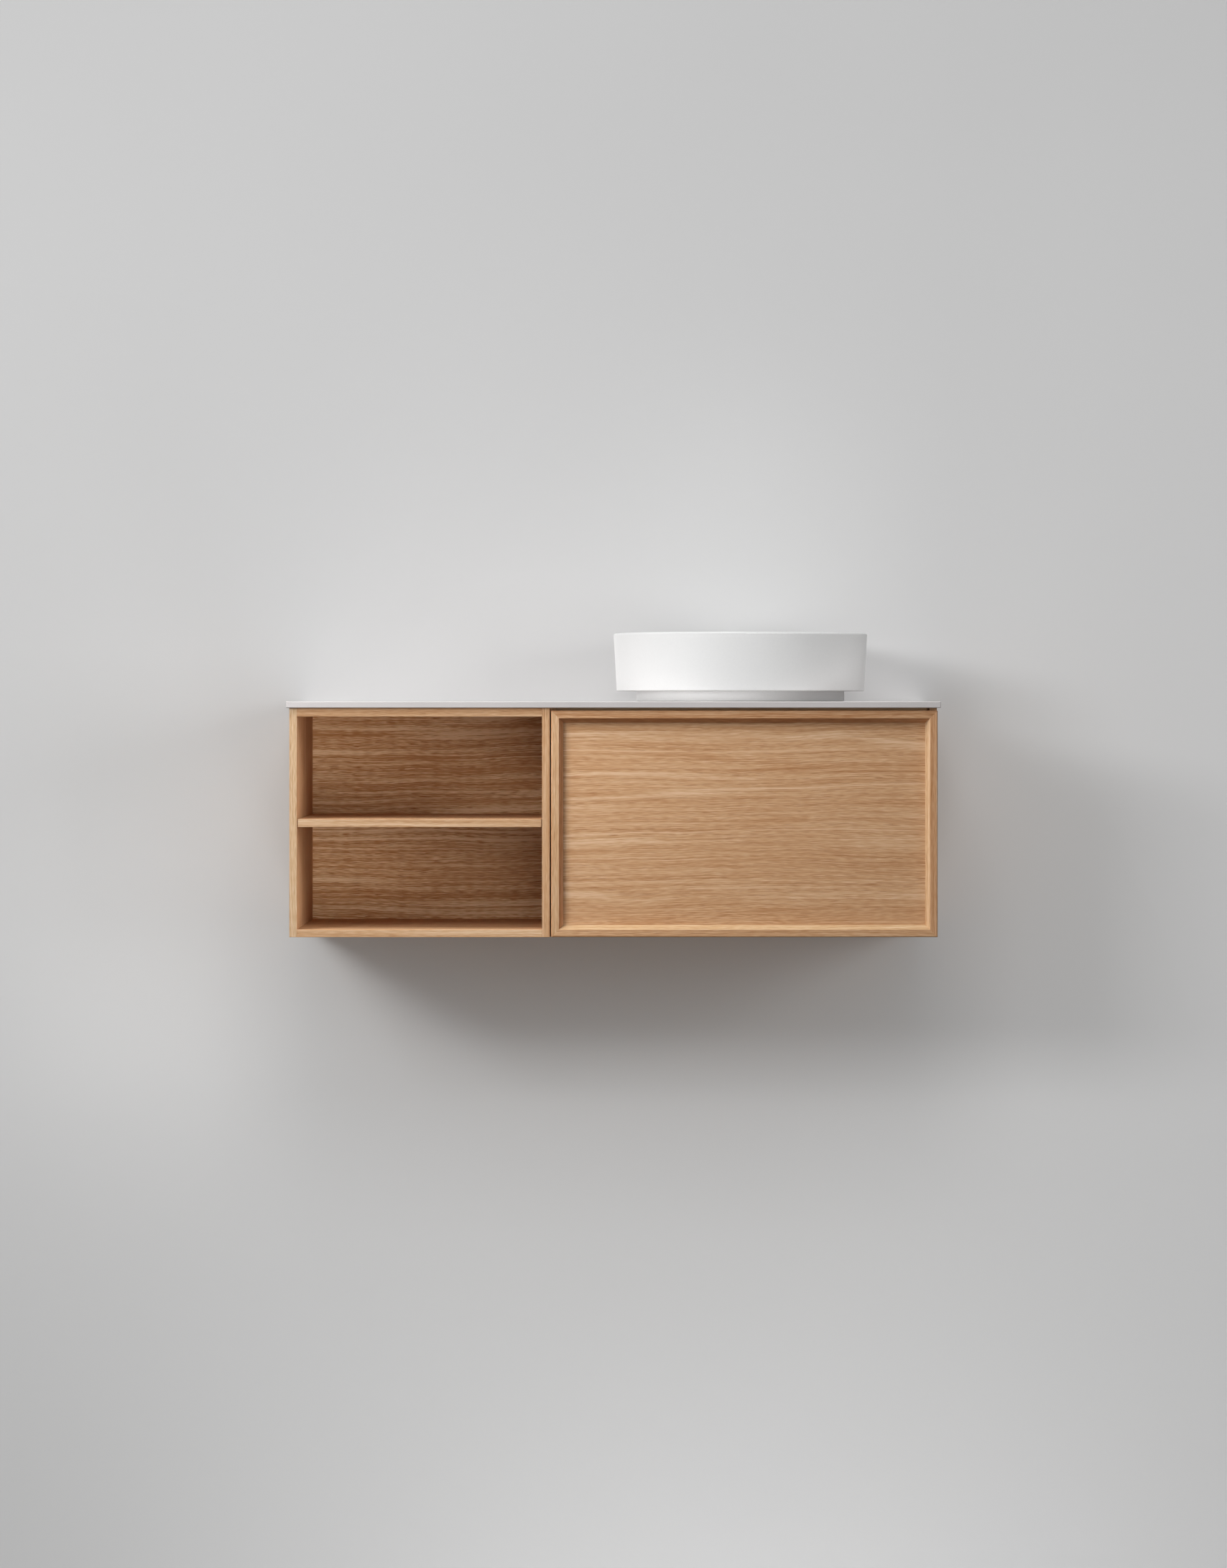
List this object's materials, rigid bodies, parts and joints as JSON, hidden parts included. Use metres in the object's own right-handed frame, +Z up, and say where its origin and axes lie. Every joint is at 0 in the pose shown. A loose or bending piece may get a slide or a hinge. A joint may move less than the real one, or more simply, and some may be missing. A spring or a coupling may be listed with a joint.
{
  "type": "wall-hung vanity with vessel basin",
  "caption": "Wall-hung oak vanity with an open shelf module, a wide framed drawer on full-extension runners, a thin pale slab and a round vessel basin with its waste and trap.",
  "frame": {"origin": "on the wall plane, at the middle of the slab's width, at the height of the wall screws", "axes": "+X to the right along the wall as seen from the front, +Y into the wall, +Z up"},
  "size_m": [1.2, 0.535, 0.56],
  "materials": {
    "oak": "natural oak veneer with a matt clear lacquer",
    "oak_front": "natural oak with a matt clear lacquer, grain along each member",
    "birch_ply": "birch plywood, clear sealed",
    "beech": "plain beech",
    "slab": "pale grey mineral slab, matt",
    "basin_glaze": "white matt glaze",
    "chrome": "polished chrome",
    "brass": "raw turned brass",
    "zinc_steel": "zinc-plated steel",
    "nickel": "satin nickel",
    "seal_rubber": "black rubber",
    "silicone": "pale silicone"
  },
  "bodies": {
    "cabinet": {"shelf_left_side": "oak", "shelf_right_side": "oak", "shelf_top_panel": "oak", "shelf_bottom_panel": "oak", "shelf_back_panel": "oak", "middle_shelf": "oak", "cabinet_left_side": "oak", "cabinet_right_side": "oak", "cabinet_bottom": "oak", "cabinet_front_rail": "oak", "cabinet_hanging_rail": "oak", "cabinet_lower_rail": "oak", "shelf_hanging_cleat": "birch_ply", "drawer_hanging_cleat": "birch_ply", "shelf_wall_cleat": "birch_ply", "drawer_wall_cleat": "birch_ply", "carcass_dowels": "beech", "countertop": "slab", "basin": "basin_glaze", "waste_body": "chrome", "trap_inlet_nut": "chrome", "trap_inlet_pipe": "chrome", "trap_head": "chrome", "trap_cup": "chrome", "trap_outlet_nut": "chrome", "trap_outlet_pipe": "chrome", "wall_rosette": "chrome", "waste_lock_nut": "brass", "left_runner_outer": "zinc_steel", "right_runner_outer": "zinc_steel", "cleat_screws": "zinc_steel", "runner_cabinet_screws": "zinc_steel", "shelf_supports": "nickel", "module_bolts": "nickel", "waste_flange_seal": "seal_rubber", "waste_washer": "seal_rubber", "drawer_buffers": "seal_rubber", "basin_seal": "silicone"},
    "drawer": {"drawer_panel": "oak_front", "drawer_top_rail": "oak_front", "drawer_bottom_rail": "oak_front", "drawer_left_stile": "oak_front", "drawer_right_stile": "oak_front", "drawer_box_front": "birch_ply", "drawer_box_left": "birch_ply", "drawer_box_right": "birch_ply", "drawer_box_bottom": "birch_ply", "drawer_back_left": "birch_ply", "drawer_back_right": "birch_ply", "trap_recess_left": "birch_ply", "trap_recess_right": "birch_ply", "trap_recess_front": "birch_ply", "left_runner_inner": "zinc_steel", "right_runner_inner": "zinc_steel", "runner_drawer_screws": "zinc_steel", "drawer_front_screws": "zinc_steel"},
    "left_runner": {"left_runner_middle": "zinc_steel"},
    "right_runner": {"right_runner_middle": "zinc_steel"},
    "plug": {"waste_plug": "chrome", "plug_seal": "seal_rubber"}
  },
  "joints": [
    {"name": "drawer_slide", "type": "slide", "parent": "cabinet", "child": "drawer", "axis": [0, -1, 0], "range_m": [0, 0.4]},
    {"name": "left_runner_slide", "type": "slide", "parent": "cabinet", "child": "left_runner", "axis": [0, -1, 0], "range_m": [0, 0.2]},
    {"name": "right_runner_slide", "type": "slide", "parent": "cabinet", "child": "right_runner", "axis": [0, -1, 0], "range_m": [0, 0.2]},
    {"name": "plug_lift", "type": "slide", "parent": "cabinet", "child": "plug", "axis": [0, 0, 1], "range_m": [0, 0.008]}
  ],
  "couplings": [
    {"joint": "left_runner_slide", "follows": "drawer_slide", "ratio": 0.5},
    {"joint": "right_runner_slide", "follows": "drawer_slide", "ratio": 0.5}
  ]
}
